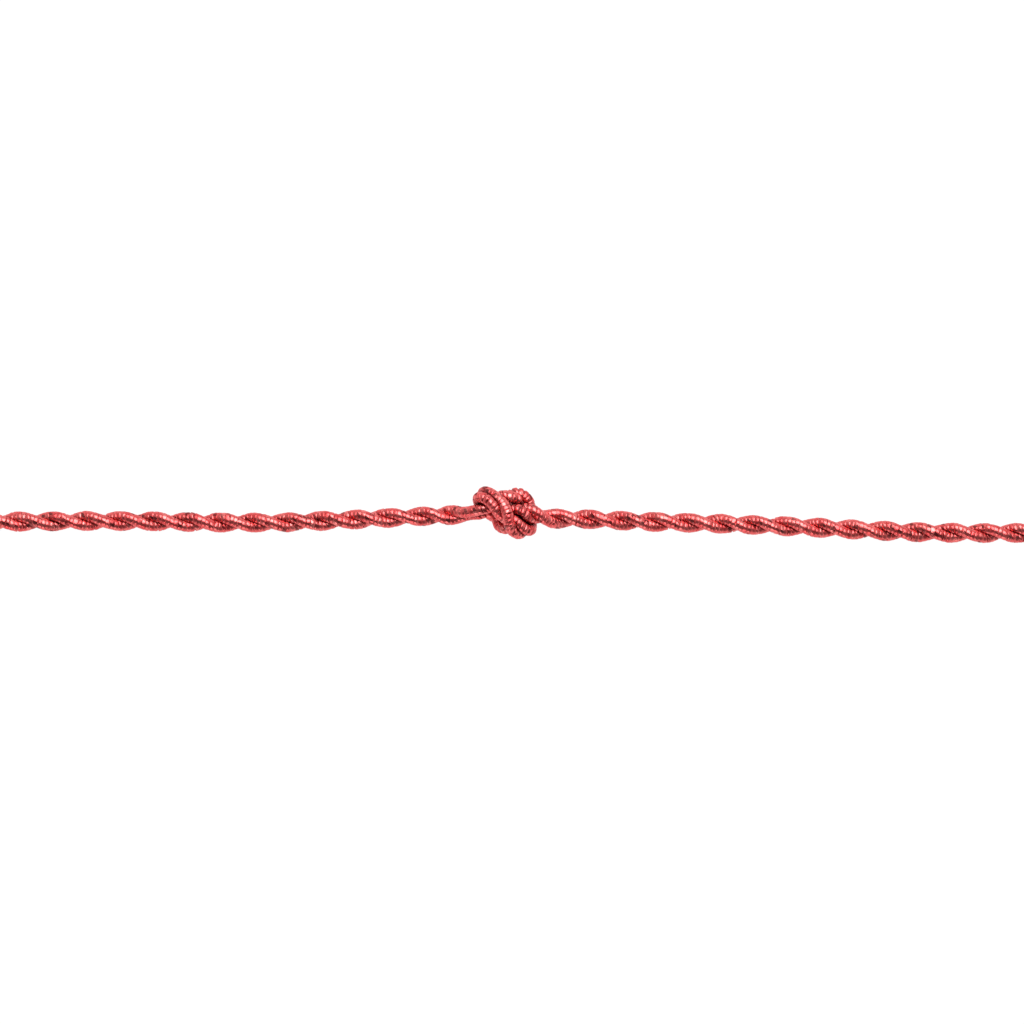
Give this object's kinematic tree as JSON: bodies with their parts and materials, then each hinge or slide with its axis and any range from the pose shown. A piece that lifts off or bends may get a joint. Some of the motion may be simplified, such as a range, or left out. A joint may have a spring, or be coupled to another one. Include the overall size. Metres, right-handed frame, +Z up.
{
  "type": "twisted cord trim with an overhand knot",
  "caption": "Cut length of red metallised two-strand twisted cord lying nearly straight, with one tight overhand knot near its middle and square cut ends",
  "frame": {"origin": "on the surface that the cord lies on, under the middle of the bounding box", "axes": "+X along the cord to the right of the picture, +Y to the picture's top, +Z up from the surface"},
  "size_m": [0.1124, 0.0056, 0.0048],
  "materials": {
    "metallic_thread": "red metallised film strip wrapped round a soft core, glittering"
  },
  "bodies": {
    "root": {"cord": "metallic_thread"}
  },
  "joints": []
}
